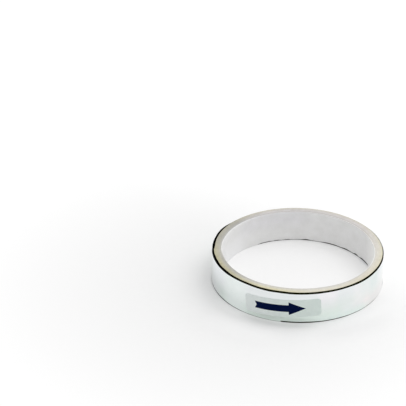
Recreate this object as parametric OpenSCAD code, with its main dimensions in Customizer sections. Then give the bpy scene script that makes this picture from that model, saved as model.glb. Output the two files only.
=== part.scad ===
// Roll of very thin metallised foil, wound on a short paper tube and lying on one end.
// The tube is a greyboard ring with a white paper liner. The foil's turns have slid
// down a little as they were wound, so their edges form a stepped, dished end, and the
// tube stands proud of them at the top. A small paper label holds the foil's free end.
// Origin: the tube's axis at the level of the surface that the roll rests on, +Z up.

/* [Paper tube] */
// Bore of the tube
bore_d = 38.1; // [20:0.1:80]
// Thickness of the white liner inside the tube
liner_t = 0.6; // [0.4:0.05:1.2]
// Thickness of the greyboard outside the liner
board_t = 1.5; // [0.6:0.05:4]
// How much further than the foil the tube reaches at each end
tube_margin = 0.1; // [0:0.05:2]
// Radius of the liner's two pressed inner edges
liner_edge_r = 0.25; // [0.05:0.05:0.35]
// Radius of the greyboard's two trimmed outer edges
board_edge_r = 0.1; // [0.05:0.05:0.25]
// Height of the tube's lower end above the surface
tube_lift = 0.15; // [0:0.05:1.5]

/* [Foil winding] */
// Width of the foil
foil_w = 8; // [4:0.5:40]
// Thickness of the foil
foil_t = 0.008; // [0.006:0.001:0.05]
// Length of foil on the roll
foil_len = 5000; // [1500:500:20000]
// Share of the winding's section that is foil, the rest being air
packing = 0.8; // [0.6:0.05:1]
// Number of bands that the turns' edges form on each end
edge_bands = 9; // [4:1:14]
// Number of outer bands that stand on the surface
foot_bands = 2; // [1:1:3]
// How far a band strays from the even dish
band_stray = 0.03; // [0:0.01:0.1]

/* [Label] */
// Length of the label, measured round the winding
label_len = 19.5; // [8:0.1:30]
// Height of the label
label_h = 4.75; // [2:0.1:6]
// Thickness of the label
label_t = 0.08; // [0.05:0.01:0.3]
// Radius of the label's corners
label_corner_r = 0.9; // [0.2:0.1:1]
// Lean of the label, positive when its right end is the higher one
label_lean = 2.8; // [-4:0.1:4]
// Direction of the label's middle, counted from +X towards +Y
label_azimuth = 260.5; // [0:0.5:360]
// Height of the label's middle above the surface
label_z = 3.9; // [3.5:0.05:20]

/* [Hidden] */
round_fn = 180;
corner_steps = 8;

bore_r = bore_d / 2;
liner_r = bore_r + liner_t;
board_r = liner_r + board_t;
tube_w = foil_w + 2 * tube_margin;
first_turn_z = tube_lift + tube_margin;

// The foil's own section, spread over the gaps between its turns, gives the outside radius
winding_r = sqrt(board_r * board_r + foil_len * foil_t / (packing * PI));
band_t = (winding_r - board_r) / edge_bands;

// Lower edge of a band: the first turn lies in the tube's middle, and the last ones reach z = 0
function dish(i) = first_turn_z * (1 - pow(min(1, i / (edge_bands - foot_bands)), 3));
function stray(i) = i > 0 && i < edge_bands - foot_bands ? band_stray * sin(137 * i) : 0;
function band_z(i) = max(0, dish(i) + stray(i));
function band_r(i) = board_r + i * band_t;

// Place on the label's flat pattern, seen square on, of a point s along the winding
function seen_x(s) = winding_r * sin(s / winding_r * 180 / PI);

// Section through the winding: down the inner face, out along the lower edges, back along the upper
module winding_section() {
    lower = [for (i = [0 : edge_bands - 1], k = [0, 1]) [band_r(i + k), band_z(i)]];
    upper = [for (i = [edge_bands - 1 : -1 : 0], k = [1, 0]) [band_r(i + k), band_z(i) + foil_w]];
    polygon(concat(lower, upper));
}

// Section of a ring with both edges of one face rounded: side 1 is its outer face, -1 its inner
module ring_section(r_in, r_out, width, edge_r, side) {
    face = side > 0 ? r_out : r_in;
    difference() {
        translate([r_in, 0]) square([r_out - r_in, width]);
        for (end = [0, 1]) translate([face, end * width]) edge_cutter(edge_r, side, end);
    }
}

// What a rounded edge loses: the corner square less its quarter circle
module edge_cutter(edge_r, side, end) {
    mirror([side > 0 ? 1 : 0, 0]) mirror([0, end]) difference() {
        translate([-edge_r, -edge_r]) square(2 * edge_r);
        translate([edge_r, edge_r]) circle(r = edge_r, $fn = 32);
        translate([edge_r, -edge_r]) square([edge_r, 2 * edge_r]);
        translate([0, edge_r]) square([edge_r, edge_r]);
    }
}

// The label's outline as seen square on: its length follows the curve of the winding
module label_outline() {
    corners = [[1, 1, 0], [-1, 1, 90], [-1, -1, 180], [1, -1, 270]];
    points = [for (c = corners, k = [0 : corner_steps])
        let (a = c[2] + 90 * k / corner_steps,
             s = c[0] * (label_len / 2 - label_corner_r) + label_corner_r * cos(a),
             h = c[1] * (label_h / 2 - label_corner_r) + label_corner_r * sin(a))
        [seen_x(s), h]];
    polygon(points);
}

module tube_board() {
    color("tan")
    translate([0, 0, tube_lift])
    rotate_extrude($fn = round_fn) ring_section(liner_r, board_r, tube_w, board_edge_r, 1);
}

module tube_liner() {
    color("whitesmoke")
    translate([0, 0, tube_lift])
    rotate_extrude($fn = round_fn) ring_section(bore_r, liner_r, tube_w, liner_edge_r, -1);
}

module foil_winding() {
    color("silver")
    rotate_extrude($fn = round_fn) winding_section();
}

// The part of a thin shell round the winding that lies inside the label's outline
module label() {
    color("lightsteelblue")
    intersection() {
        difference() {
            cylinder(r = winding_r + label_t, h = foil_w, $fn = round_fn);
            translate([0, 0, -1]) cylinder(r = winding_r, h = foil_w + 2, $fn = round_fn);
        }
        rotate([0, 0, label_azimuth - 90])
        translate([0, winding_r / 2, label_z])
        rotate([90, 0, 180])
        rotate([0, 0, label_lean])
        linear_extrude(height = winding_r) label_outline();
    }
}

tube_board();
tube_liner();
foil_winding();
label();
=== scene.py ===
"""Looks of a small roll of metallised foil: a paper tube, the foil wound on it and its end label."""

from math import cos, pi, radians, sin, sqrt

import bpy
import numpy as np
from mathutils import Matrix, Vector


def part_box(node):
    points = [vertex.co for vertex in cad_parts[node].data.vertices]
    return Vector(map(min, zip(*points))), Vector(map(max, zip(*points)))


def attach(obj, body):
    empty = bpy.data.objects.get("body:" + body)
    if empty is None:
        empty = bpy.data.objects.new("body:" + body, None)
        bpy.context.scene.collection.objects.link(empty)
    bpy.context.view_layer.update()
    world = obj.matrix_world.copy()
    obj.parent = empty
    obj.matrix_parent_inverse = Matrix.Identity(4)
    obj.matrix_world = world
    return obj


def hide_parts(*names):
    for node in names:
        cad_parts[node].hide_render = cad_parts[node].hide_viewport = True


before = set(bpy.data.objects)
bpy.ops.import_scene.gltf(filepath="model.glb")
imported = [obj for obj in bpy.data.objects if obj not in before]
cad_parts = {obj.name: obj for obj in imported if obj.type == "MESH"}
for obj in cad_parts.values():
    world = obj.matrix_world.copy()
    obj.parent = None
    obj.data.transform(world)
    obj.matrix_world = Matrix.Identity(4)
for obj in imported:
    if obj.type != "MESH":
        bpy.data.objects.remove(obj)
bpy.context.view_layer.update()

MM = 0.001


def node_corners(node):
    """Places of a CAD node's corners."""
    return np.array([v.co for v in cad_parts[node].data.vertices])


def radius_range(node):
    """Smallest and largest distance of a CAD node's surface from the tube's axis."""
    corners = node_corners(node)
    distance = np.hypot(corners[:, 0], corners[:, 1])
    return float(distance.min()), float(distance.max())


# Sizes that the frame gives
bore_r, liner_r = radius_range("tube_liner")
board_r = radius_range("tube_board")[1]
winding_r = radius_range("foil_winding")[1]
tube_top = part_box("tube_board")[1].z

# Places round the roll are listed as an azimuth, the half width over which they are even and the half
# width at which they have gone, all in degrees, and then mostly an amount or a colour

# Paper tube
liner_edge_r = 0.25 * MM
liner_foot_edge_r = 0.06 * MM
board_edge_r = 0.1 * MM
rim_edge_r = 0.03 * MM
board_gap = 0.005 * MM
plies = 4
ply_t = (board_r - liner_r) / plies
ply_groove = 0.035 * MM
ply_groove_half_width = 0.045 * MM
ply_groove_wander = 0.45
trim_relief = 0.022 * MM
wall_relief = 0.012 * MM
fraying = 0.008 * MM
pressed_in = [
    (-208, 6, 14, -0.1 * MM), (-183, 4, 8, 0.06 * MM), (-181, 1, 5, 0.03 * MM), (-174, 2, 7, -0.08 * MM),
    (-170, 30, 54, 0.19 * MM), (-165, 12, 17, -0.04 * MM), (-160, 1, 4, 0.03 * MM), (-154, 1, 5, -0.035 * MM),
    (-145, 1, 5, 0.03 * MM), (-140, 2, 7, -0.03 * MM), (-131, 5, 12, 0.06 * MM), (-123, 3, 7, 0.05 * MM),
    (-115, 12, 22, 0.03 * MM), (-101, 2, 7, 0.07 * MM), (-99, 17, 41, 0.19 * MM), (-65, 8, 16, 0.04 * MM),
    (-50, 12, 35, 0.09 * MM), (-39, 3, 8, -0.05 * MM),
]
# The liner's upper edge is less rounded in front and at the back
sharp_edge = [(-115, 45, 65, 0.2 * MM), (65, 50, 75, 0.19 * MM)]
# The tube's lower edge is raised on one side, and torn at a few places there
raised_foot = [(46, 22, 30, 0.17 * MM), (98, 20, 30, 0.09 * MM), (65, 42, 55, 0.05 * MM)]
nicks = [
    (27, 4, 8, 0.26 * MM), (39, 0, 4, 0.27 * MM), (50, 1, 6, 0.13 * MM), (63, 2, 9, 0.09 * MM),
    (84, 0, 5, 0.2 * MM), (99, 0, 4, 0.08 * MM), (107, 0, 4, 0.1 * MM), (117, 3, 7, 0.11 * MM),
    (151, 0, 3, 0.06 * MM),
]

# Foil winding
foil_w = 8 * MM
turns = 37
pitch = (winding_r - board_r) / turns
turn_groove = 0.8 * pitch
turn_rise = 0.002 * MM
off_centre = 0.045 * MM
# Where the winding stands out a little, over its whole height and at its foot only
bulges = [
    (-205, 1, 5, 0.04 * MM), (-204, 3, 12, 0.1 * MM), (-180, 14, 34, 0.07 * MM), (-140, 4, 9, 0.03 * MM),
    (-18, 5, 14, 0.05 * MM), (5, 6, 16, -0.03 * MM),
]
flares = [(-158, 18, 45, 0.06 * MM)]
# How far below the rim the first turn's upper edge is, all round and more on one side
first_turn_down = 0.008 * MM
first_turn_low = [(95, 50, 75, 0.13 * MM)]
# Height of the last turn's upper edge, and where it runs higher or lower
last_turn_top = 8.03 * MM
high_places = [
    (-206, 4, 12, 0.08 * MM), (-200, 8, 22, 0.12 * MM), (-131, 5, 12, 0.05 * MM), (-129, 6, 22, 0.11 * MM),
    (-113, 10, 24, 0.03 * MM), (-101, 2, 7, 0.05 * MM), (-88, 4, 14, 0.03 * MM), (-62, 8, 24, 0.06 * MM),
    (-40, 5, 14, -0.08 * MM), (-8, 4, 20, 0.1 * MM),
]
free_end = -100
# How high the last turn's lower edge runs on from its free end, all the way and at some places
far_lift = 0.09 * MM
end_lift = [
    (-90, 3, 53, 0.22 * MM), (-69, 3, 12, -0.035 * MM), (-62, 2, 8, 0.02 * MM), (-2, 14, 30, -0.08 * MM),
]
# The same where it comes round to that end again and runs under it
near_lift = 0.04 * MM
skirt = [(-168, 15, 52, 0.21 * MM), (-171, 6, 14, 0.06 * MM)]
# Degrees past the free end between which the one lower edge gives way to the other
end_fade = (120, 185)
# How many of the outer turns have slid down to the surface
foot_turns = 5
# How far the turns' edges stray, the share of that which is the same all round, and how many of the last
# turns don't stray
turn_stray = 0.022 * MM
lean_share = 0.6
even_turns = 3
face_waves = 0.007 * MM
# The last turn's free end is a step this wide
end_step = radians(0.02)

# Label, and the arrow printed on it
label_len, label_h = 19.5 * MM, 4.75 * MM
label_t = 0.08 * MM
label_corner_r = 0.9 * MM
label_lean = radians(2.8)
label_edge = 0.12 * MM
label_relief = 0.004 * MM
rim_share = 0.55
arrow_from, arrow_to = -7 * MM, 5.9 * MM
arrow_head_len, arrow_head_h = 4.2 * MM, 3.6 * MM
arrow_shaft_h = 1.9 * MM
arrow_tail_notch = 0.5
arrow_overlap = 0.05 * MM
ink_spread = 0.05 * MM

# How finely the pieces are meshed, and the angles over which their edges stay sharp
ring_columns, winding_columns = 720, 540
board_top_steps, board_foot_steps = 34, 14
wall_steps, face_steps = 18, 16
edge_steps, liner_edge_steps = 5, 9
liner_top_shares = (0, 0.3, 0.6, 0.9)
label_middle_columns, label_corner_columns, label_rows, label_edge_rows = 151, 13, 27, 5
usual_sharp_angle, winding_sharp_angle = radians(50), radians(60)

# Seeds of the random lines and reliefs
fray_seed, ply_seed = 21, 31
board_top_seed, board_foot_seed, liner_top_seed, wall_seed = 41, 42, 43, 44
lean_seed, turn_seed, face_seed, label_seed = 60, 100, 71, 81

# Camera, from the photograph's perspective, and the floor that it sees
camera_distance = 0.6059
camera_elevation = radians(30.876)
camera_pan, camera_tilt, camera_roll = radians(2.635), radians(-29.136), radians(0.419)
focal_length, sensor_width = 212.8, 36
floor_size, floor_steps = 3.0, 24

# Light: what the room sends from each of its sides, and the lamps
room_light = {"right": 0.7, "left": 0.71, "back": 0.7, "front": 0.65, "above": 0.7}
key_place, key_size, key_power = Vector((0.136, 0.136, 0.23)), 0.25, 0.191
fill_place, fill_size, fill_power = Vector((0.055, 0, 0.118)), 0.1, 0.03

# Distances over which the lit floor ends and the painted shade under the roll begins, inside the bore and
# beside the winding, how far the winding's middle is to the left of the axis there, and how far light reaches
# under the tube at some places
lit_in_bore = (bore_r - 0.03 * MM, bore_r + 0.14 * MM)
lit_beside = (winding_r - off_centre - 0.09 * MM, winding_r - off_centre + 0.12 * MM)
winding_shift = off_centre + 0.035 * MM
lit_under_tube = [(65, 44, 56, 0.09 * MM), (148, 13, 26, 0.12 * MM)]
# How far the shown floor is brightened inside the bore, from the front to the back, less at the back: painted
# shade near the back wall
glow_inside_front, glow_inside_back = 0.178, 0.156
bore_front, bore_back = -12 * MM, 6 * MM
# The same beside the roll, from near it to far away, with a soft step near it, which paints a contact shadow,
# and more behind it
glow_near, glow_far = 0.128, 0.4
near_distance, far_distance = 22 * MM, 100 * MM
painted_shadow_step = 0.016
step_comes, step_goes = (22.5 * MM, 25.5 * MM), (27 * MM, 33 * MM)
glow_behind = [(56, 42, 80, 0.05)]
# Parts of rings round the roll that are darker or brighter, painted shadow and painted light: the distances
# over which each ring comes and goes, and the places and amounts of its parts
painted_floor_rings = [
    ((21.3 * MM, 22.8 * MM), (23.2 * MM, 24.6 * MM), [(-102, 12, 26, -0.08)]),
    ((20 * MM, 21 * MM), (23.4 * MM, 24.6 * MM), [(-63, 9, 22, 0.022), (-134, 8, 18, 0.022)]),
    ((24.5 * MM, 26.5 * MM), (28.5 * MM, 33 * MM), [(-57, 9, 24, -0.036), (-117, 8, 22, 0.036)]),
]


# Lines and fields that the shapes use

def waves(azimuths, seed, slowest, fastest):
    """A smooth random line round the roll, from -1 to 1, of waves that each fit the round."""
    draw = np.random.default_rng(seed)
    total = sum(
        np.cos(count * azimuths + draw.uniform(0, 2 * pi)) / sqrt(count)
        for count in range(slowest, fastest + 1)
    )
    return total / np.abs(total).max()


def fade(values, start, end):
    """1 up to start, falling smoothly to 0 at end."""
    share = np.clip((values - start) / (end - start), 0, 1)
    return 1 - share * share * (3 - 2 * share)


def swells(azimuths, places):
    """The amounts of all the places at each azimuth."""
    total = 0 * azimuths
    for centre, even, gone, amount in places:
        away = np.abs((np.degrees(azimuths) - centre + 180) % 360 - 180)
        total = total + amount * fade(away, even, gone)
    return total


def grain(rows, columns, seed, across, along):
    """A random relief from 0 to 1, whose blots are about across rows wide and along columns long."""
    draw = np.random.default_rng(seed)
    row_waves = np.fft.fftfreq(rows)[:, None] * across
    column_waves = np.fft.fftfreq(columns)[None, :] * along
    kept = np.exp(-8 * (row_waves**2 + column_waves**2))
    field = np.fft.ifft2(np.fft.fft2(draw.standard_normal((rows, columns))) * kept).real
    return (field - field.min()) / (field.max() - field.min())


# Meshes

def mesh_piece(name, points, quads, materials, slots, sharp_angle=usual_sharp_angle):
    """An object from points and quads, smooth but for edges sharper than sharp_angle."""
    mesh = bpy.data.meshes.new(name)
    mesh.from_pydata(points.reshape(-1, 3).tolist(), [], quads.reshape(-1, 4).tolist())
    for made in materials:
        mesh.materials.append(made)
    mesh.polygons.foreach_set("material_index", slots)
    mesh.polygons.foreach_set("use_smooth", np.ones(len(mesh.polygons), bool))
    mesh.set_sharp_from_angle(angle=sharp_angle)
    mesh.update()
    piece = bpy.data.objects.new(name, mesh)
    bpy.context.scene.collection.objects.link(piece)
    return piece


def ring_piece(name, azimuths, rows, materials, row_slots=None, sharp_angle=usual_sharp_angle):
    """A closed ring. Each row holds the radius and height of one line round it, and the rows go round
    its section: up the outer face, in over the top, down the inner face and out along the bottom."""
    radii = np.array([np.broadcast_to(r, azimuths.shape) for r, _ in rows])
    heights = np.array([np.broadcast_to(z, azimuths.shape) for _, z in rows])
    count, columns = radii.shape
    k, j = np.meshgrid(np.arange(count), np.arange(columns), indexing="ij")
    next_k, next_j = (k + 1) % count, (j + 1) % columns
    corners = [(k, j), (k, next_j), (next_k, next_j), (next_k, j)]
    quads = np.stack([row * columns + column for row, column in corners], axis=-1)
    slots = np.repeat(row_slots if row_slots is not None else [0] * count, columns)
    points = round_points(radii, azimuths, heights)
    return mesh_piece(name, points, quads, materials, slots, sharp_angle)


def round_points(radii, azimuths, heights):
    """Points from their distances from the axis, azimuths and heights."""
    return np.stack([radii * np.cos(azimuths), radii * np.sin(azimuths), heights], axis=-1)


def grid_quads(index):
    """The quads between the points of a grid, from the grid of their numbers."""
    corners = [index[:-1, :-1], index[:-1, 1:], index[1:, 1:], index[1:, :-1]]
    return np.stack(corners, axis=-1).reshape(-1, 4)


def arc_rows(centre_r, centre_z, edge_r, start, end, steps):
    """Rows round a rounded edge, from the angle start to end in degrees, counted from outwards to up."""
    angles = np.radians(np.linspace(start, end, steps))
    return [(centre_r + edge_r * np.cos(a), centre_z + edge_r * np.sin(a)) for a in angles]


# Paper tube

def tube_azimuths():
    return np.linspace(0, 2 * pi, ring_columns, endpoint=False)


def torn_foot(azimuths):
    """Height of the tube's lower edge above the surface."""
    frayed = fraying * (1 + waves(azimuths, fray_seed, slowest=5, fastest=40))
    return frayed + swells(azimuths, raised_foot + nicks)


def trimmed(radii, azimuths, relief):
    """How far the knife and the swollen plies left the tube's end below its highest level."""
    depth = trim_relief * relief
    for ply in range(plies):
        away = (radii - liner_r - ply * ply_t) / ply_groove_half_width
        wave = waves(azimuths, ply_seed + ply, slowest=2, fastest=14)
        groove = ply_groove * (1 + ply_groove_wander * (wave - 1))
        depth = depth + groove * np.exp(-away * away)
    return depth


def board_outside(azimuths):
    """Radius of the board's outer face, on which the foil is wound."""
    return board_r - swells(azimuths, pressed_in)


def make_board(material):
    azimuths = tube_azimuths()
    outer = board_outside(azimuths) - board_gap
    foot = torn_foot(azimuths)
    top_relief = grain(board_top_steps, ring_columns, board_top_seed, across=3, along=3)
    foot_relief = grain(board_foot_steps, ring_columns, board_foot_seed, across=2, along=3)
    rows = [(outer, foot + board_edge_r), (outer, tube_top - 2 * rim_edge_r)]
    rows += arc_rows(outer - rim_edge_r, tube_top - rim_edge_r, rim_edge_r, 0, 90, edge_steps)[:-1]
    for share, relief in zip(np.linspace(0, 1, board_top_steps), top_relief):
        radius = outer - rim_edge_r + (liner_r - outer + rim_edge_r) * share
        rows.append((radius, tube_top - trimmed(radius, azimuths, relief)))
    for share, relief in zip(np.linspace(0, 1, board_foot_steps), foot_relief):
        radius = liner_r + (outer - board_edge_r - liner_r) * share
        rows.append((radius, foot + trimmed(radius, azimuths, relief)))
    rows += arc_rows(outer - board_edge_r, foot + board_edge_r, board_edge_r, 270, 360, edge_steps)[1:-1]
    return ring_piece("tube_greyboard", azimuths, rows, [material])


def make_liner(material):
    azimuths = tube_azimuths()
    foot = torn_foot(azimuths)
    rim_relief = grain(len(liner_top_shares), ring_columns, liner_top_seed, across=1, along=3)
    wall_grain = grain(wall_steps, ring_columns, wall_seed, across=4, along=9)
    edge_r = liner_edge_r - swells(azimuths, sharp_edge)
    centre_r, centre_z = bore_r + edge_r, tube_top - edge_r
    rows = [(liner_r, foot), (liner_r, tube_top - trimmed(liner_r, azimuths, rim_relief[0]))]
    for share, relief in zip(liner_top_shares[1:], rim_relief[1:]):
        rows.append((liner_r + (centre_r - liner_r) * share, tube_top - trim_relief * relief))
    rows += arc_rows(centre_r, centre_z, edge_r, 90, 180, liner_edge_steps)
    foot_z = foot + liner_foot_edge_r
    for share, relief in zip(np.linspace(0, 1, wall_steps + 2)[1:-1], wall_grain):
        rows.append((bore_r + wall_relief * relief, centre_z + (foot_z - centre_z) * share))
    rows += arc_rows(bore_r + liner_foot_edge_r, foot_z, liner_foot_edge_r, 180, 270, edge_steps)
    return ring_piece("tube_liner_ply", azimuths, rows, [material])


# Foil winding

def past_end(azimuths):
    """Degrees round the roll from the foil's free end, going the way that its last turn lies."""
    return (np.degrees(azimuths) - free_end) % 360


def within_winding(radius, azimuths):
    """The radius, but no further to either side than the winding reaches."""
    return np.minimum(radius, winding_r / np.maximum(np.abs(np.cos(azimuths)), 0.9))


def outside_radius(azimuths):
    """Radius of the winding's bright face: a little off the tube's centre, and a turn less after a round."""
    radius = winding_r - off_centre * (1 + np.cos(azimuths)) - pitch * past_end(azimuths) / 360
    return within_winding(radius + swells(azimuths, bulges), azimuths)


def turn_stray_line(turn, azimuths):
    """How far the edges of a turn wander up and down from the even dish."""
    if turn == 0 or turn >= turns - even_turns:
        return 0 * azimuths
    lean = np.random.default_rng(lean_seed + turn).uniform(-1, 1)
    wave = waves(azimuths, turn_seed + turn, slowest=1, fastest=6)
    return turn_stray * (lean_share * lean + (1 - lean_share) * wave)


def turn_top(turn, azimuths):
    """Height of a turn's upper edge: the first is near the tube's rim, and the dish falls to the last."""
    last = last_turn_top + swells(azimuths, high_places)
    first = tube_top - first_turn_down - swells(azimuths, first_turn_low)
    share = ((turn + 0.5) / turns) ** 2
    line = first + (last - first) * share + turn_stray_line(turn, azimuths)
    return np.minimum(line, first)


def last_turn_foot(azimuths):
    """Height of the last turn's lower edge, which is highest just after the free end."""
    after_end = fade(past_end(azimuths), *end_fade)
    after = far_lift + swells(azimuths, end_lift)
    before = near_lift + swells(azimuths, skirt)
    return after * after_end + before * (1 - after_end)


def turn_foot(turn, azimuths):
    """Height of a turn's lower edge. The turns are dished, and the outer ones stand on the surface."""
    if turn == turns - 1:
        return last_turn_foot(azimuths)
    depth = (tube_top - foil_w) * (1 - (turn / (turns - foot_turns)) ** 3)
    return np.maximum(depth, 0) + turn_stray_line(turn, azimuths)


def turn_feet(azimuths):
    """Heights of all the turns' lower edges, the lowest place of them on the surface."""
    feet = [np.maximum(turn_foot(turn, azimuths), 0) for turn in range(turns)]
    lowest = min(foot.min() for foot in feet)
    return [foot - lowest for foot in feet]


def face_rows(azimuths, outside, foot, top):
    """Rows up the bright face, which is slightly wavy and flares at its foot."""
    waviness = face_waves * grain(face_steps, winding_columns, face_seed, across=8, along=16)
    flare = swells(azimuths, flares)
    rows = []
    for share, wave in zip(np.linspace(0, 1, face_steps), waviness):
        radius = within_winding(outside + flare * (1 - share) ** 2, azimuths) - wave
        rows.append((radius, foot + (top - foot) * share))
    return rows


def turn_rows(radius_at, feet, tops):
    """Rows in over the turns' upper edges, down the inner face and out along their lower edges, with a
    groove between each turn and the next. radius_at gives the radius so many turns out."""
    rows = []
    for turn in range(turns - 1, -1, -1):
        rise = turn_rise if turn < turns - 1 else 0
        rows.append((radius_at(turn + 0.5), tops[turn] + rise))
        if turn:
            rows.append((radius_at(turn), np.minimum(tops[turn], tops[turn - 1]) - turn_groove))
    rows += [(radius_at(0), tops[0]), (radius_at(0), feet[0])]
    for turn in range(turns):
        rows.append((radius_at(turn + 0.5), feet[turn]))
        if turn < turns - 1:
            rows.append((radius_at(turn + 1), np.maximum(feet[turn], feet[turn + 1]) + turn_groove))
    return rows


def make_winding(face_material, edge_material):
    azimuths = radians(free_end) + np.linspace(0, 2 * pi - end_step, winding_columns)
    outside, inside = outside_radius(azimuths), board_outside(azimuths)
    feet = turn_feet(azimuths)
    tops = [turn_top(turn, azimuths) for turn in range(turns)]

    def radius_at(turns_out):
        return inside + (outside - inside) * turns_out / turns

    rows = face_rows(azimuths, outside, feet[-1], tops[-1]) + turn_rows(radius_at, feet, tops)
    slots = [0] * (face_steps - 1) + [1] * (len(rows) - face_steps + 1)
    materials = [face_material, edge_material]
    return ring_piece("wound_foil", azimuths, rows, materials, slots, winding_sharp_angle)


# Label

def label_columns():
    """Places along the label, closer together round its corners."""
    straight = label_len / 2 - label_corner_r
    corner = straight + label_corner_r * np.sin(np.radians(np.linspace(0, 90, label_corner_columns)))
    middle = np.linspace(-straight, straight, label_middle_columns)
    return np.concatenate([-corner[:0:-1], middle, corner[1:]])


def label_half_height(along):
    """Half the label's height at each place along it, less in the rounded corners."""
    into_corner = np.clip(np.abs(along) - label_len / 2 + label_corner_r, 0, label_corner_r)
    return label_h / 2 - label_corner_r + np.sqrt(label_corner_r**2 - into_corner**2)


def label_pattern():
    """A grid of places along and up the flat label, and how far each is from its edge."""
    along = label_columns()
    half = label_half_height(along)
    inset = np.linspace(0, 1, label_edge_rows) * label_edge
    ups = np.linspace(-1, 1, label_rows)[:, None] * (half - label_edge)[None, :]
    ups = np.concatenate([-half + inset[:-1, None], ups, half - inset[-2::-1, None]])
    from_edge = np.minimum(half[None, :] - np.abs(ups), (label_len / 2 - np.abs(along))[None, :])
    return np.broadcast_to(along, ups.shape), ups, from_edge


def label_thickness(from_edge):
    """Thickness of the label, which is thinner at its edge and slightly uneven."""
    pressed = np.clip(from_edge / label_edge, 0, 1)
    thickness = label_t * (rim_share + (1 - rim_share) * np.sqrt(1 - (1 - pressed) ** 2))
    return thickness - label_relief * grain(*from_edge.shape, label_seed, across=5, along=9)


def label_places(alongs, ups):
    """Azimuths and heights of the label's places, leaned as the solid is and round its middle."""
    corners = node_corners("label")
    middle_azimuth = np.arctan2(corners[:, 1].mean(), corners[:, 0].mean())
    low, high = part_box("label")
    seen = winding_r * np.sin(alongs / winding_r)
    leaned = seen * np.cos(label_lean) - ups * np.sin(label_lean)
    heights = (low.z + high.z) / 2 + seen * np.sin(label_lean) + ups * np.cos(label_lean)
    return middle_azimuth + np.arcsin(leaned / winding_r), heights


def sheet_quads(count, columns):
    """Quads of a closed thin sheet: its outer side, its inner side and the strip round their edges."""
    outer = np.arange(count * columns).reshape(count, columns)
    to_inner = count * columns
    inner_side = grid_quads(outer + to_inner)[:, [0, 3, 2, 1]]
    edge = np.concatenate([outer[0, :-1], outer[:-1, -1], outer[-1, :0:-1], outer[:0:-1, 0]])
    onwards = np.roll(edge, -1)
    strip = np.stack([edge, edge + to_inner, onwards + to_inner, onwards], axis=-1)
    return np.concatenate([grid_quads(outer), inner_side, strip])


def make_label(material):
    alongs, ups, from_edge = label_pattern()
    azimuths, heights = label_places(alongs, ups)
    base = outside_radius(azimuths) + pitch * past_end(azimuths) / 360
    sides = [round_points(r, azimuths, heights) for r in (base + label_thickness(from_edge), base)]
    quads = sheet_quads(*ups.shape)
    points = np.concatenate([side.reshape(-1, 3) for side in sides])
    piece = mesh_piece("end_label", points, quads, [material], np.zeros(len(quads), int))
    flat = np.stack([alongs, ups, np.zeros_like(ups)], axis=-1).reshape(-1, 3)
    layer = piece.data.attributes.new("flat", "FLOAT_VECTOR", "POINT")
    layer.data.foreach_set("vector", np.concatenate([flat, flat]).astype(np.float32).ravel())
    return piece


# Colours and node trees

def srgb(*levels):
    """A colour as the eye reads it, in steps of 255, as the linear colour that a shader takes."""
    parts = [level / 255 for level in levels]
    linear = [p / 12.92 if p <= 0.04045 else ((p + 0.055) / 1.055) ** 2.4 for p in parts]
    return (*linear, 1.0)


def tint(red, green, blue):
    """A linear colour, mostly one that another is multiplied by."""
    return (red, green, blue, 1.0)


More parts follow.
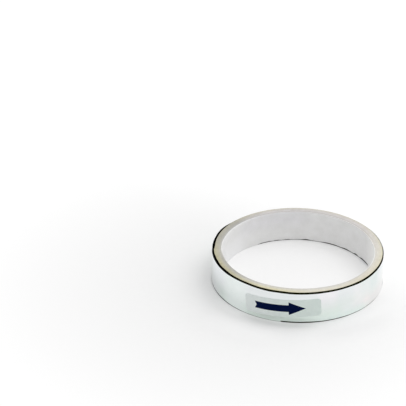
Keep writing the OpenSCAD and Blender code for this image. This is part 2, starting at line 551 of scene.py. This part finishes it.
class Nodes:
    """A node tree, with short calls that add a node and link what it is given."""

    def __init__(self, tree):
        self.tree = tree

    def put(self, socket, value):
        if isinstance(value, bpy.types.NodeSocket):
            self.tree.links.new(value, socket)
        else:
            socket.default_value = value

    def node(self, kind, inputs, output=0, **settings):
        made = self.tree.nodes.new(kind)
        for name, value in settings.items():
            setattr(made, name, value)
        for key, value in inputs.items():
            self.put(made.inputs[key], value)
        return None if output is None else made.outputs[output]

    def math(self, operation, *values):
        return self.node("ShaderNodeMath", dict(enumerate(values)), operation=operation)

    def times(self, first, second):
        return self.math("MULTIPLY", first, second)

    def plus(self, first, second):
        return self.math("ADD", first, second)

    def minus(self, first, second):
        return self.math("SUBTRACT", first, second)

    def vector(self, operation, inputs, output=0):
        return self.node("ShaderNodeVectorMath", dict(enumerate(inputs)), output, operation=operation)

    def split(self, vector):
        """The three parts of a vector."""
        made = self.tree.nodes.new("ShaderNodeSeparateXYZ")
        self.put(made.inputs[0], vector)
        return made.outputs

    def seen_directly(self):
        """1 for what the camera sees straight, in a mirror or through glass, and 0 for the light itself."""
        kinds = ("Is Camera Ray", "Is Glossy Ray", "Is Transmission Ray")
        camera, glossy, through = (self.node("ShaderNodeLightPath", {}, kind) for kind in kinds)
        return self.math("MAXIMUM", camera, self.math("MAXIMUM", glossy, through))

    def place(self):
        return self.node("ShaderNodeTexCoord", {}, "Object")

    def stretched(self, place, scale):
        return self.vector("MULTIPLY", (place, scale))

    def from_axis(self, place):
        """Distance of a place from the roll's axis."""
        return self.vector("LENGTH", (self.stretched(place, (1, 1, 0)),), "Value")

    def noise(self, place, size, detail=2.0, roughness=0.5):
        """Noise from 0 to 1 whose blots are about size across, in metres."""
        inputs = {"Vector": place, "Scale": 1 / size, "Detail": detail, "Roughness": roughness}
        return self.node("ShaderNodeTexNoise", inputs)

    def spread(self, value, low, high, to_low=0.0, to_high=1.0):
        """value, with low to high stretched to to_low to to_high and cut off there."""
        inputs = {"Value": value, "From Min": low, "From Max": high, "To Min": to_low, "To Max": to_high}
        return self.node("ShaderNodeMapRange", inputs)

    def around(self, place, azimuth, even, gone):
        """1 within even degrees of an azimuth round the roll, falling to 0 at gone degrees from it."""
        outwards = self.vector("NORMALIZE", (self.stretched(place, (1, 1, 0)),))
        way = (cos(radians(azimuth)), sin(radians(azimuth)), 0)
        nearness = self.vector("DOT_PRODUCT", (outwards, way), "Value")
        return self.spread(nearness, cos(radians(gone)), cos(radians(even)))

    def swells(self, place, places):
        """The amounts of all the places round the roll, added up."""
        total = 0.0
        for azimuth, even, gone, amount in places:
            total = self.plus(total, self.times(self.around(place, azimuth, even, gone), amount))
        return total

    def mix(self, share, first, second, blend="MIX"):
        made = self.tree.nodes.new("ShaderNodeMix")
        made.data_type, made.blend_type = "RGBA", blend
        self.put(made.inputs["Factor"], share)
        self.put(made.inputs["A"], first)
        self.put(made.inputs["B"], second)
        return made.outputs["Result"]

    def tinted(self, share, colour, by):
        return self.mix(share, colour, by, "MULTIPLY")

    def tinted_round(self, place, colour, tints):
        """The colour multiplied by each tint at its place round the roll."""
        for azimuth, even, gone, by in tints:
            colour = self.tinted(self.around(place, azimuth, even, gone), colour, by)
        return colour

    def bump(self, height, strength, distance):
        return self.node("ShaderNodeBump", {"Height": height, "Strength": strength, "Distance": distance})


class Shader(Nodes):
    """A new material and its nodes."""

    def __init__(self, name):
        self.material = bpy.data.materials.new(name)
        self.material.use_nodes = True
        self.bsdf = self.material.node_tree.nodes["Principled BSDF"]
        super().__init__(self.material.node_tree)

    def finish(self, **sockets):
        for name, value in sockets.items():
            self.put(self.bsdf.inputs[name.replace("_", " ")], value)
        return self.material


# Greyboard

# Painted shade on the rim's left side and left-back, where less light falls on it, and tones round the roll:
# greyer at the back and yellower in front
board_tones_and_shade = [
    (180, 38, 66, tint(0.725, 0.725, 0.7)), (156, 11, 24, tint(0.885, 0.895, 0.935)),
    (-105, 8, 20, tint(0.985, 0.98, 0.945)), (88, 10, 26, tint(0.97, 0.975, 0.98)),
    (-28, 14, 26, tint(0.975, 0.965, 0.945)), (78, 38, 80, tint(0.865, 0.865, 0.955)),
]
outer_plies_from, outer_plies_full = liner_r + 0.05 * MM, liner_r + 0.75 * MM
stain_from, stain_full = board_r - 0.65 * MM, board_r - 0.05 * MM
yellow_side = (-135, 30, 55)
ply_line_lead, ply_line_share = 0.03 * MM, 0.22


def pulp_colour(s, place, radius, flocs):
    """Beige pulp, yellower outwards and stained next to the foil."""
    colour = s.mix(flocs, srgb(223, 219, 208), srgb(233, 230, 221))
    outer_plies = s.spread(radius, outer_plies_from, outer_plies_full)
    colour = s.tinted(outer_plies, colour, tint(1, 0.99, 0.95))
    yellow = s.times(outer_plies, s.around(place, *yellow_side))
    colour = s.tinted(yellow, colour, tint(1, 0.99, 0.86))
    # Painted shade on the left side and left-back, and the tones round the roll
    colour = s.tinted_round(place, colour, board_tones_and_shade)
    return s.tinted(s.spread(radius, stain_from, stain_full), colour, tint(1, 1, 0.9))


def ply_lines(s, radius):
    """Strength of the line at which each ply starts."""
    plies_out = s.math("DIVIDE", s.minus(radius, liner_r - ply_line_lead), ply_t)
    return s.spread(s.math("FRACT", plies_out), 0.0, ply_line_share, 0.4, 0.0)


def greyboard():
    """The trimmed ends of greyboard plies: flecked beige pulp with a faint line at each ply."""
    s = Shader("greyboard")
    place = s.place()
    radius = s.from_axis(place)
    flocs = s.spread(s.noise(place, size=0.9 * MM, detail=3), 0.35, 0.65)
    flecks = s.spread(s.noise(place, size=0.16 * MM, detail=4, roughness=0.7), 0.35, 0.7)
    colour = pulp_colour(s, place, radius, flocs)
    colour = s.tinted(s.times(flecks, 0.25), colour, tint(0.68, 0.66, 0.6))
    colour = s.mix(s.times(ply_lines(s, radius), flocs), colour, srgb(160, 153, 137))
    fibres = s.noise(s.stretched(place, (1, 1, 0.4)), size=0.07 * MM, detail=5, roughness=0.6)
    rough = s.spread(fibres, 0.3, 0.7, 0.82, 0.96)
    return s.finish(
        Base_Color=colour, Roughness=rough, Specular_IOR_Level=0.25,
        Normal=s.bump(fibres, strength=0.55, distance=0.03 * MM),
    )


# Liner paper

# Where the wall is whiter at its foot, which is painted light from the bright floor, and where it is greyer
# at its top, with the heights over which the tone changes there
painted_bounce_side, painted_bounce_heights = (152, 8, 22), (1 * MM, 6 * MM)
grey_top_side, grey_top_heights = (112, 18, 34), (3 * MM, 6 * MM)
# Where the paper is whiter, and where it is warmer, at all heights
white_side, warm_side = (0, 12, 26), (-75, 40, 60)
# Distances and heights over which the cut pulp comes, and how much nearer to the bore it starts in front
# and behind
cut_from, cut_full = bore_r + 0.12 * MM, bore_r + 0.34 * MM
cut_low, cut_high = tube_top - 0.2 * MM, tube_top - 0.05 * MM
cut_reach = [(-115, 45, 62, 0.26 * MM), (65, 50, 75, 0.14 * MM)]
cut_ragged = 0.08 * MM
torn_tints = [
    (60, 45, 80, tint(0.97, 0.945, 0.89)), (158, 22, 40, tint(1.14, 1.14, 1.16)),
    (0, 12, 26, tint(1.05, 1.05, 1.07)),
]


def paper_colour(s, place, height, clouds):
    """White paper with small flecks, toned up its wall and round the roll, with painted light from the floor
    at the wall's foot on one side.
    """
    colour = s.mix(clouds, srgb(236, 236, 235), srgb(244, 244, 244))
    flecks = s.spread(s.noise(place, size=0.12 * MM, detail=3, roughness=0.6), 0.58, 0.75, 0.0, 0.25)
    colour = s.mix(flecks, colour, srgb(214, 213, 209))
    # Painted light from the floor at the foot of the wall on one side
    low = s.times(s.spread(height, *painted_bounce_heights, 1, 0), s.around(place, *painted_bounce_side))
    colour = s.mix(low, colour, srgb(250, 250, 251))
    high = s.times(s.spread(height, *grey_top_heights), s.around(place, *grey_top_side))
    colour = s.tinted(high, colour, tint(0.96, 0.955, 0.975))
    colour = s.mix(s.around(place, *white_side), colour, srgb(253, 253, 251))
    return s.tinted(s.around(place, *warm_side), colour, tint(0.98, 0.955, 0.935))


def cut_share(s, place, height):
    """1 where the liner's upper edge is cut, with a ragged border."""
    tears = s.noise(place, size=0.8 * MM, detail=3, roughness=0.6)
    ragged = s.spread(tears, 0.0, 1.0, -cut_ragged, cut_ragged)
    reach = s.plus(s.plus(s.from_axis(place), ragged), s.swells(place, cut_reach))
    return s.times(s.spread(reach, cut_from, cut_full), s.spread(height, cut_low, cut_high))


def torn_pulp(s, place):
    """The greyer pulp that a cut shows."""
    blots = s.spread(s.noise(place, size=0.3 * MM, detail=3, roughness=0.6), 0.35, 0.65)
    colour = s.mix(blots, srgb(208, 206, 199), srgb(221, 219, 212))
    # The cut pulp takes the board's painted shade on the left and its tones round the roll, and its own tones
    return s.tinted_round(place, colour, board_tones_and_shade + torn_tints)


def liner_paper():
    """White lining paper with a soft cloudy formation and a fine fibre grain, and greyer where it is cut."""
    s = Shader("liner paper")
    place = s.place()
    height = s.split(place)[2]
    clouds = s.spread(s.noise(place, size=2.6 * MM, detail=4, roughness=0.6), 0.3, 0.7)
    colour = paper_colour(s, place, height, clouds)
    colour = s.mix(cut_share(s, place, height), colour, torn_pulp(s, place))
    fibres = s.noise(s.stretched(place, (1, 1, 0.5)), size=0.09 * MM, detail=5, roughness=0.62)
    rough = s.spread(clouds, 0.0, 1.0, 0.72, 0.86)
    return s.finish(
        Base_Color=colour, Roughness=rough, Specular_IOR_Level=0.3,
        Normal=s.bump(fibres, strength=0.35, distance=0.02 * MM),
    )


# Foil

# Tones on the bright face, most of them painted reflections, lighter and darker swaths round the roll and a
# lighter foot against the mirrored shadow: the part of its height, the place round the roll, the blend and
# the colour
foil_tints_and_painted_reflections = [
    ("low", 0, 44, 60, "MIX", srgb(244, 243, 242)),
    ("low", -172, 12, 26, "MIX", srgb(234, 238, 238)),
    ("high", -155, 7, 14, "MIX", srgb(245, 248, 250)),
    ("all", -136, 4, 13, "MIX", srgb(246, 252, 250)),
    ("high", -33, 8, 14, "MIX", srgb(233, 241, 239)),
    ("low", -50, 5, 12, "MIX", srgb(238, 243, 242)),
    ("all", -41, 4, 10, "MULTIPLY", tint(1.045, 1.012, 1.02)),
    ("all", -14, 10, 22, "MULTIPLY", tint(0.965, 0.965, 0.97)),
    ("high", -69, 4, 8, "MULTIPLY", tint(1.06, 1.02, 1.035)),
    ("foot", -56, 14, 24, "MIX", srgb(240, 250, 246)),
]
# Heights over which the upper part's tone comes, and over which the foot's painted light goes
face_middle, face_foot = (2 * MM, 6.5 * MM), (0.4 * MM, 2.2 * MM)
# Painted shade where the turns' edges face away from the light and are quite black, and painted light where
# they catch it and are a little brown
painted_shade_side, painted_light_side = (-178, 32, 50), (2, 8, 22)


def foil_cast_and_painted_reflections(s, place):
    """The face's faint green cast, which changes a little up the face, and painted reflections in lighter and
    darker swaths round the roll.
    """
    height = s.split(place)[2]
    high = s.spread(height, *face_middle)
    shares = {"high": high, "low": s.minus(1, high), "foot": s.spread(height, *face_foot, 1, 0)}
    colour = s.mix(high, srgb(234, 244, 238), srgb(240, 243, 244))
    # Painted reflections: lighter and darker swaths round the roll, on top of the green cast
    for part, azimuth, even, gone, blend, tone in foil_tints_and_painted_reflections:
        share = s.around(place, azimuth, even, gone)
        if part in shares:
            share = s.times(shares[part], share)
        colour = s.mix(share, colour, tone, blend)
    return colour


def bright_foil():
    """Metallised film, mirror bright, with drawn lines along it and slight smears."""
    s = Shader("bright foil")
    place = s.place()
    smears = s.noise(s.stretched(place, (1, 1, 2)), size=3.5 * MM, detail=3, roughness=0.55)
    smears = s.spread(smears, 0.35, 0.7)
    drawn = s.noise(s.stretched(place, (0.05, 0.05, 1)), size=0.12 * MM, detail=3, roughness=0.6)
    colour = s.tinted(s.times(smears, 0.4), foil_cast_and_painted_reflections(s, place), tint(0.93, 0.945, 0.94))
    rough = s.spread(smears, 0.0, 1.0, 0.05, 0.11)
    return s.finish(
        Base_Color=colour, Metallic=1.0, Roughness=rough,
        Normal=s.bump(drawn, strength=0.12, distance=0.004 * MM),
    )


def stacked_edges():
    """The cut edges of many turns seen together, which hold the light between them and look almost black."""
    s = Shader("stacked foil edges")
    place = s.place()
    patches = s.noise(place, size=0.8 * MM, detail=3, roughness=0.6)
    colour = s.mix(s.spread(patches, 0.35, 0.7), tint(0.008, 0.008, 0.0005), tint(0.014, 0.014, 0.001))
    # Painted shade on the side away from the light, painted light on the side facing it
    colour = s.tinted(s.around(place, *painted_shade_side), colour, tint(0.06, 0.06, 0.1))
    colour = s.mix(s.around(place, *painted_light_side), colour, tint(0.05, 0.028, 0.016))
    rough = s.spread(patches, 0.3, 0.7, 0.4, 0.6)
    scratches = s.noise(place, size=0.05 * MM, detail=3, roughness=0.6)
    return s.finish(
        Base_Color=colour, Roughness=rough, Specular_IOR_Level=0.02,
        Normal=s.bump(scratches, strength=0.3, distance=0.006 * MM),
    )


# Label paper

# Places along the label between which its paper turns a little greener
greener = (-7 * MM, 5 * MM)


def printed_arrow(s, flat, along, up):
    """1 inside the arrow, whose edges are slightly ragged: a notched shaft and a head that points right."""
    blots = s.noise(flat, size=0.06 * MM, detail=3, roughness=0.6)
    ragged = s.times(s.minus(blots, 0.5), ink_spread)
    up = s.plus(s.math("ABSOLUTE", up), ragged)
    neck = arrow_to - arrow_head_len
    tail_middle = arrow_from + arrow_tail_notch * arrow_shaft_h / 2
    tail = s.plus(s.times(up, -arrow_tail_notch), tail_middle)
    in_shaft = s.math("LESS_THAN", up, arrow_shaft_h / 2)
    before_neck = s.math("LESS_THAN", along, neck + arrow_overlap)
    after_tail = s.math("GREATER_THAN", along, tail)
    shaft = s.times(s.times(in_shaft, before_neck), after_tail)
    head_half = s.times(s.minus(arrow_to, along), arrow_head_h / 2 / arrow_head_len)
    head = s.times(s.math("LESS_THAN", up, head_half), s.math("GREATER_THAN", along, neck))
    return s.math("MAXIMUM", shaft, head)


def label_paper():
    """Satin label paper, grey with a faint green cast, with a plain arrow printed on it in dark navy."""
    s = Shader("label paper")
    place = s.place()
    flat = s.node("ShaderNodeAttribute", {}, "Vector", attribute_name="flat")
    along, up, _ = s.split(flat)
    clouds = s.spread(s.noise(place, size=1.4 * MM, detail=4, roughness=0.6), 0.3, 0.7)
    paper = s.mix(s.spread(along, *greener), srgb(243, 249, 247), srgb(234, 245, 240))
    paper = s.tinted(clouds, paper, tint(0.93, 0.94, 0.94))
    arrow = printed_arrow(s, flat, along, up)
    ink_thin = s.spread(s.noise(flat, size=0.2 * MM, detail=4, roughness=0.6), 0.45, 0.75, 0.0, 0.3)
    ink = s.mix(ink_thin, srgb(2, 15, 56), srgb(8, 25, 72))
    fibres = s.noise(place, size=0.08 * MM, detail=4, roughness=0.6)
    rough = s.minus(s.spread(fibres, 0.3, 0.7, 0.42, 0.56), s.times(arrow, 0.14))
    return s.finish(
        Base_Color=s.mix(arrow, paper, ink), Roughness=rough, Specular_IOR_Level=0.02,
        Normal=s.bump(fibres, strength=0.2, distance=0.01 * MM),
    )


# Surroundings

def make_world():
    """A plain room. Its light comes a little unevenly from its sides, and what is seen of it is white."""
    world = bpy.data.worlds.new("white room")
    world.use_nodes = True
    n = Nodes(world.node_tree)
    n.tree.nodes.clear()
    x, y, z = n.split(n.node("ShaderNodeTexCoord", {}, "Generated"))
    sides = {"right": (x, 1), "left": (x, -1), "back": (y, 1), "front": (y, -1), "above": (z, 1)}
    total = 0.0
    for side, (part, sign) in sides.items():
        facing = n.math("MAXIMUM", n.times(part, sign), 0)
        total = n.plus(total, n.times(n.times(facing, facing), room_light[side]))
    light = n.node("ShaderNodeBackground", {"Color": (1, 1, 1, 1), "Strength": total})
    shown = n.node("ShaderNodeBackground", {"Color": (1, 1, 1, 1), "Strength": 1})
    either = n.node("ShaderNodeMixShader", {0: n.seen_directly(), 1: light, 2: shown})
    n.node("ShaderNodeOutputWorld", {"Surface": either}, None)
    bpy.context.scene.world = world


def floor_in_bore(s, place, distance):
    """1 on the floor inside the bore and 0 under the roll."""
    inwards = s.minus(distance, s.swells(place, lit_under_tube))
    return s.spread(inwards, *lit_in_bore, 1, 0)


def floor_beside(s, place):
    """1 on the floor outside the winding, which is a little off the tube's centre, and 0 under it."""
    from_winding = s.vector("ADD", (place, (winding_shift, 0, 0)))
    return s.spread(s.from_axis(from_winding), *lit_beside)


def glow_round(s, place, distance):
    """How far the floor beside the roll is brightened: more with the distance and behind it, and unevenly
    in soft rings of painted shadow and painted light where the roll's shadow and shine fall."""
    level = s.spread(distance, near_distance, far_distance, glow_near, glow_far)
    # Painted contact shadow near the roll, a little lighter beyond it
    step = s.spread(distance, *step_comes, -painted_shadow_step, painted_shadow_step / 2)
    level = s.plus(level, s.times(step, s.spread(distance, *step_goes, 1, 0)))
    level = s.plus(level, s.swells(place, glow_behind))
    # Painted shadow and painted light in rings round the roll
    for comes, goes, places in painted_floor_rings:
        ring = s.times(s.spread(distance, *comes), s.spread(distance, *goes, 1, 0))
        level = s.plus(level, s.times(ring, s.swells(place, places)))
    return level


def floor_material():
    """A white table top. What shows of it is brightened towards white, so that only the shadow is left,
    but not under the roll, where no light gets in and the table is painted dark grey as shade."""
    s = Shader("white table")
    place = s.place()
    speckle = s.noise(place, size=1.5 * MM, detail=3, roughness=0.5)
    distance = s.from_axis(place)
    in_bore, beside = floor_in_bore(s, place, distance), floor_beside(s, place)
    colour = s.mix(speckle, srgb(230, 230, 230), srgb(233, 233, 233))
    # Painted shade: the table is dark grey under the roll, where no light gets in
    colour = s.mix(s.plus(in_bore, beside), srgb(60, 60, 60), colour)
    # Less towards the back of the bore: painted shade near the back wall
    glow_inside = s.spread(s.split(place)[1], bore_front, bore_back, glow_inside_front, glow_inside_back)
    glow = s.plus(s.times(in_bore, glow_inside), s.times(beside, glow_round(s, place, distance)))
    return s.finish(
        Base_Color=colour, Roughness=0.9, Specular_IOR_Level=0.0,
        Normal=s.bump(speckle, strength=0.05, distance=0.01 * MM),
        Emission_Color=(1, 1, 1, 1), Emission_Strength=s.times(glow, s.seen_directly()),
    )


def make_floor():
    half = floor_size / 2
    line = np.linspace(-half, half, floor_steps + 1)
    across, back = np.meshgrid(line, line)
    points = np.stack([across, back, np.zeros_like(across)], axis=-1)
    quads = grid_quads(np.arange(across.size).reshape(across.shape))
    floor = mesh_piece("table_top", points, quads, [floor_material()], np.zeros(len(quads), int))


def make_lamp(name, place, size, power):
    lamp = bpy.data.lights.new(name, "AREA")
    lamp.shape = "SQUARE"
    lamp.size = size
    lamp.energy = power
    holder = bpy.data.objects.new(name, lamp)
    holder.location = place
    holder.rotation_mode = "QUATERNION"
    holder.rotation_quaternion = (-place).to_track_quat("-Z", "Y")
    holder.visible_camera = False
    bpy.context.scene.collection.objects.link(holder)


def make_camera():
    lens = bpy.data.cameras.new("camera")
    lens.lens, lens.sensor_width = focal_length, sensor_width
    lens.clip_start, lens.clip_end = 0.01, 10
    holder = bpy.data.objects.new("camera", lens)
    place = Vector((0, -cos(camera_elevation), sin(camera_elevation))) * camera_distance
    turn = Matrix.Rotation(camera_pan, 4, "Z") @ Matrix.Rotation(pi / 2 + camera_tilt, 4, "X")
    holder.matrix_world = Matrix.Translation(place) @ turn @ Matrix.Rotation(camera_roll, 4, "Z")
    bpy.context.scene.collection.objects.link(holder)
    bpy.context.scene.camera = holder


def place_piece(piece, node):
    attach(piece, "root")
    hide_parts(node)


make_camera()
place_piece(make_board(greyboard()), "tube_board")
place_piece(make_liner(liner_paper()), "tube_liner")
place_piece(make_winding(bright_foil(), stacked_edges()), "foil_winding")
place_piece(make_label(label_paper()), "label")
make_floor()
make_world()
make_lamp("key", key_place, key_size, key_power)
make_lamp("fill", fill_place, fill_size, fill_power)
bpy.context.scene.view_settings.view_transform = "Standard"
